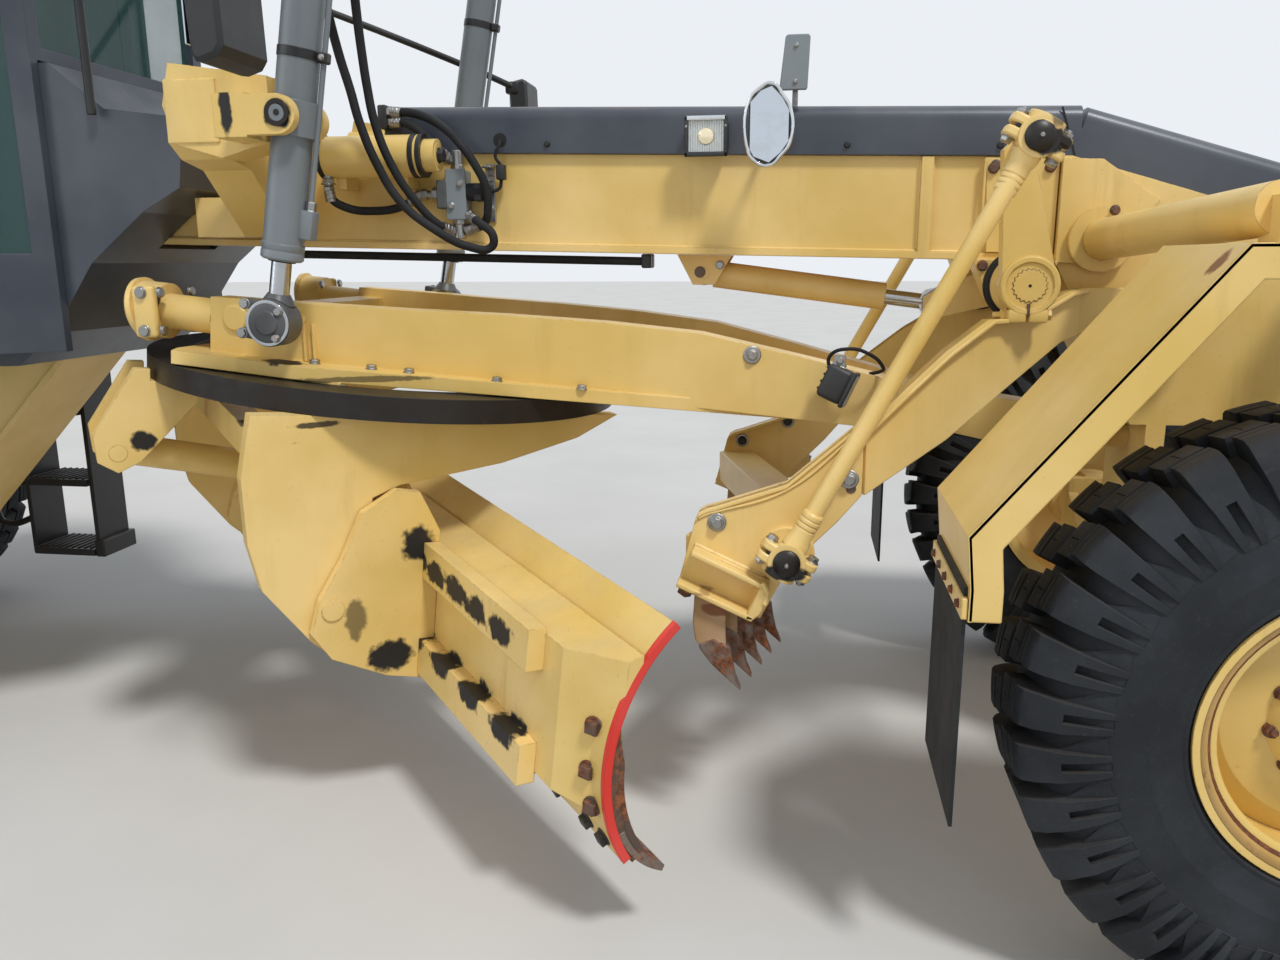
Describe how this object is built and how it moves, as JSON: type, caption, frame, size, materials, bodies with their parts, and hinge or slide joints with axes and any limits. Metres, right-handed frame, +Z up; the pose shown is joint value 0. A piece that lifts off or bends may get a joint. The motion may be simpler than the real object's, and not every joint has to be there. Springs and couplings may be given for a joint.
{
  "type": "motor grader",
  "caption": "Articulated motor grader with a circle-mounted blade, a mid-mounted scarifier and leaning front wheels.",
  "frame": {"origin": "on the ground, in the middle of the machine's length and width", "axes": "+X forward, +Y to the machine's left, +Z up"},
  "size_m": [9.03, 2.59, 3.2],
  "materials": {
    "yellow_paint": "semi-gloss, sun-bleached",
    "charcoal_paint": "semi-gloss",
    "black_paint": "satin",
    "slate_paint": "semi-gloss",
    "ground_steel": "ground",
    "rusted_steel": "rusted",
    "tyre_rubber": "dusty",
    "black_rubber": "matte",
    "tinted_glass": "clear"
  },
  "bodies": {
    "front_frame": {"front_beam": "yellow_paint", "beam_cover": "charcoal_paint", "gooseneck": "yellow_paint", "frame_nose": "yellow_paint", "front_axle": "yellow_paint", "lift_yoke": "yellow_paint", "lock_cylinder": "yellow_paint", "console": "charcoal_paint", "cab_frame": "charcoal_paint", "cab_roof": "charcoal_paint", "cab_glass": "tinted_glass", "operator_station": "black_paint", "front_fenders": "yellow_paint", "mud_flaps": "black_rubber", "mirrors": "black_paint", "work_lamps": "black_paint", "cab_steps": "black_paint"},
    "rear_frame": {"rear_frame": "yellow_paint", "hood": "yellow_paint", "engine_block": "slate_paint", "grille": "black_paint", "tandem_cases": "yellow_paint", "exhaust": "black_paint"},
    "lean_right": {"lean_bracket_right": "yellow_paint"},
    "lean_left": {"lean_bracket_left": "yellow_paint"},
    "lean_bar": {"lean_bar": "yellow_paint"},
    "knuckle_right": {"knuckle_right": "yellow_paint"},
    "knuckle_left": {"knuckle_left": "yellow_paint"},
    "drawbar": {"drawbar": "yellow_paint"},
    "circle": {"blade_circle": "black_paint", "blade_arms": "yellow_paint"},
    "cradle": {"blade_cradle": "yellow_paint"},
    "blade": {"moldboard": "yellow_paint", "cutting_edge": "rusted_steel"},
    "tilt_barrel": {"tilt_barrel": "yellow_paint"},
    "tilt_rod": {"tilt_rod": "ground_steel"},
    "lift_barrel_right": {"lift_barrel_right": "slate_paint"},
    "lift_barrel_left": {"lift_barrel_left": "slate_paint"},
    "lift_rod_right": {"lift_rod_right": "ground_steel"},
    "lift_rod_left": {"lift_rod_left": "ground_steel"},
    "scarifier": {"scarifier_frame": "yellow_paint"},
    "scarifier_lever": {"scarifier_lever": "yellow_paint"},
    "scarifier_barrel": {"scarifier_barrel": "yellow_paint"},
    "scarifier_rod": {"scarifier_rod": "ground_steel"},
    "tie_rods": {"tie_rods": "yellow_paint"},
    "cab_door_right": {"cab_door_right": "charcoal_paint"},
    "cab_door_left": {"cab_door_left": "charcoal_paint"},
    "wheel_front_right": {"tyre_front_right": "tyre_rubber", "rim_front_right": "yellow_paint"},
    "wheel_front_left": {"tyre_front_left": "tyre_rubber", "rim_front_left": "yellow_paint"},
    "wheel_middle_right": {"tyre_middle_right": "tyre_rubber", "rim_middle_right": "yellow_paint"},
    "wheel_middle_left": {"tyre_middle_left": "tyre_rubber", "rim_middle_left": "yellow_paint"},
    "wheel_rear_right": {"tyre_rear_right": "tyre_rubber", "rim_rear_right": "yellow_paint"},
    "wheel_rear_left": {"tyre_rear_left": "tyre_rubber", "rim_rear_left": "yellow_paint"}
  },
  "joints": [
    {"name": "articulation", "type": "hinge", "parent": "front_frame", "child": "rear_frame", "pos_m": [-1.315, 0, 0.9], "axis": [0, 0, 1], "range_deg": [-25, 25]},
    {"name": "lean_right", "type": "hinge", "parent": "front_frame", "child": "lean_right", "pos_m": [3.585, -0.54, 0.6], "axis": [1, 0, 0], "range_deg": [-16, 16]},
    {"name": "lean_left", "type": "hinge", "parent": "front_frame", "child": "lean_left", "pos_m": [3.585, 0.54, 0.6], "axis": [1, 0, 0], "range_deg": [-17, 17]},
    {"name": "lean_bar", "type": "hinge", "parent": "lean_right", "child": "lean_bar", "pos_m": [3.775, -0.54, 0.92], "axis": [1, 0, 0], "range_deg": [-17, 17]},
    {"name": "steer_right", "type": "hinge", "parent": "lean_right", "child": "knuckle_right", "pos_m": [3.585, -0.85, 0.69], "axis": [0, 0, 1], "range_deg": [-49, 49]},
    {"name": "steer_left", "type": "hinge", "parent": "lean_left", "child": "knuckle_left", "pos_m": [3.585, 0.85, 0.69], "axis": [0, 0, 1], "range_deg": [-50, 50]},
    {"name": "wheel_front_right", "type": "hinge", "parent": "knuckle_right", "child": "wheel_front_right", "pos_m": [3.585, -1.035, 0.69], "axis": [0, 1, 0], "continuous": true},
    {"name": "wheel_middle_right", "type": "hinge", "parent": "rear_frame", "child": "wheel_middle_right", "pos_m": [-2.1325, -1.035, 0.69], "axis": [0, 1, 0], "continuous": true},
    {"name": "wheel_rear_right", "type": "hinge", "parent": "rear_frame", "child": "wheel_rear_right", "pos_m": [-3.6575, -1.035, 0.69], "axis": [0, 1, 0], "continuous": true},
    {"name": "wheel_front_left", "type": "hinge", "parent": "knuckle_left", "child": "wheel_front_left", "pos_m": [3.585, 1.035, 0.69], "axis": [0, 1, 0], "continuous": true},
    {"name": "wheel_middle_left", "type": "hinge", "parent": "rear_frame", "child": "wheel_middle_left", "pos_m": [-2.1325, 1.035, 0.69], "axis": [0, 1, 0], "continuous": true},
    {"name": "wheel_rear_left", "type": "hinge", "parent": "rear_frame", "child": "wheel_rear_left", "pos_m": [-3.6575, 1.035, 0.69], "axis": [0, 1, 0], "continuous": true},
    {"name": "drawbar_lift", "type": "hinge", "parent": "front_frame", "child": "drawbar", "pos_m": [3.325, 0, 1.13], "axis": [0, 1, 0], "range_deg": [-14, 2]},
    {"name": "lift_swing_right", "type": "hinge", "parent": "front_frame", "child": "lift_barrel_right", "pos_m": [1.07805, -0.68, 2.04], "axis": [0, 1, 0], "range_deg": [-4.34, 1.05]},
    {"name": "lift_rod_right", "type": "slide", "parent": "lift_barrel_right", "child": "lift_rod_right", "axis": [-0.1762, 0, -0.9844], "range_m": [-0.0874, 0.5816]},
    {"name": "lift_swing_left", "type": "hinge", "parent": "front_frame", "child": "lift_barrel_left", "pos_m": [1.07805, 0.68, 2.04], "axis": [0, 1, 0], "range_deg": [-4.34, 1.05]},
    {"name": "lift_rod_left", "type": "slide", "parent": "lift_barrel_left", "child": "lift_rod_left", "axis": [-0.1762, 0, -0.9844], "range_m": [-0.0874, 0.5816]},
    {"name": "circle_turn", "type": "hinge", "parent": "drawbar", "child": "circle", "pos_m": [1.03845, 0, 1.3784], "axis": [0.108, 0, 0.9942], "range_deg": [-86, 4]},
    {"name": "blade_pitch", "type": "hinge", "parent": "circle", "child": "cradle", "pos_m": [0.68645, -0.24471, 0.74471], "axis": [-0.6522, 0.7547, 0.0709], "range_deg": [-3, 25]},
    {"name": "blade_shift", "type": "slide", "parent": "cradle", "child": "blade", "axis": [-0.6522, 0.7547, 0.0709], "range_m": [-0.4, 0.4]},
    {"name": "tilt_swing", "type": "hinge", "parent": "circle", "child": "tilt_barrel", "pos_m": [0.35778, -0.56421, 1.12241], "axis": [-0.6522, 0.7547, 0.0709], "range_deg": [-1.28, 7]},
    {"name": "tilt_rod", "type": "slide", "parent": "tilt_barrel", "child": "tilt_rod", "axis": [0.72, 0.646, -0.2534], "range_m": [-0.0168, 0.1032]},
    {"name": "scarifier_lift", "type": "hinge", "parent": "front_frame", "child": "scarifier", "pos_m": [3.485, 0, 1.52], "axis": [0, -1, 0], "range_deg": [0, 14]},
    {"name": "lever_turn", "type": "hinge", "parent": "front_frame", "child": "scarifier_lever", "pos_m": [3.015, 0, 1.6], "axis": [0, -1, 0], "range_deg": [-1, 40.66]},
    {"name": "tie_rod_swing", "type": "hinge", "parent": "scarifier_lever", "child": "tie_rods", "pos_m": [2.957, 0, 1.953], "axis": [0, -1, 0], "range_deg": [-20.33, 1]},
    {"name": "scarifier_cylinder_swing", "type": "hinge", "parent": "front_frame", "child": "scarifier_barrel", "pos_m": [2.109, 0, 1.631], "axis": [0, -1, 0], "range_deg": [-7.67, 0.5]},
    {"name": "scarifier_rod", "type": "slide", "parent": "scarifier_barrel", "child": "scarifier_rod", "axis": [0.9915, 0, -0.1302], "range_m": [-0.005, 0.101]},
    {"name": "door_right", "type": "hinge", "parent": "front_frame", "child": "cab_door_right", "pos_m": [-1.105, -0.812, 2.2], "axis": [0, 0, -1], "range_deg": [0, 80]},
    {"name": "door_left", "type": "hinge", "parent": "front_frame", "child": "cab_door_left", "pos_m": [-1.105, 0.812, 2.2], "axis": [0, 0, 1], "range_deg": [0, 80]}
  ],
  "couplings": [
    {"joint": "lean_left", "follows": "lean_right", "ratio": 1},
    {"joint": "lean_bar", "follows": "lean_right", "ratio": -1},
    {"joint": "steer_left", "follows": "steer_right", "ratio": 1},
    {"joint": "lift_swing_right", "follows": "drawbar_lift", "ratio": 0.27415},
    {"joint": "lift_rod_right", "follows": "drawbar_lift", "m_per_rad": -2.36},
    {"joint": "lift_swing_left", "follows": "drawbar_lift", "ratio": 0.27415},
    {"joint": "lift_rod_left", "follows": "drawbar_lift", "m_per_rad": -2.36},
    {"joint": "tilt_swing", "follows": "blade_pitch", "ratio": 0.26008},
    {"joint": "tilt_rod", "follows": "blade_pitch", "m_per_rad": 0.2251},
    {"joint": "lever_turn", "follows": "scarifier_lift", "ratio": 2.8329},
    {"joint": "tie_rod_swing", "follows": "scarifier_lift", "ratio": -1.3804},
    {"joint": "scarifier_cylinder_swing", "follows": "scarifier_lift", "ratio": -0.51215},
    {"joint": "scarifier_rod", "follows": "scarifier_lift", "m_per_rad": 0.39294}
  ]
}
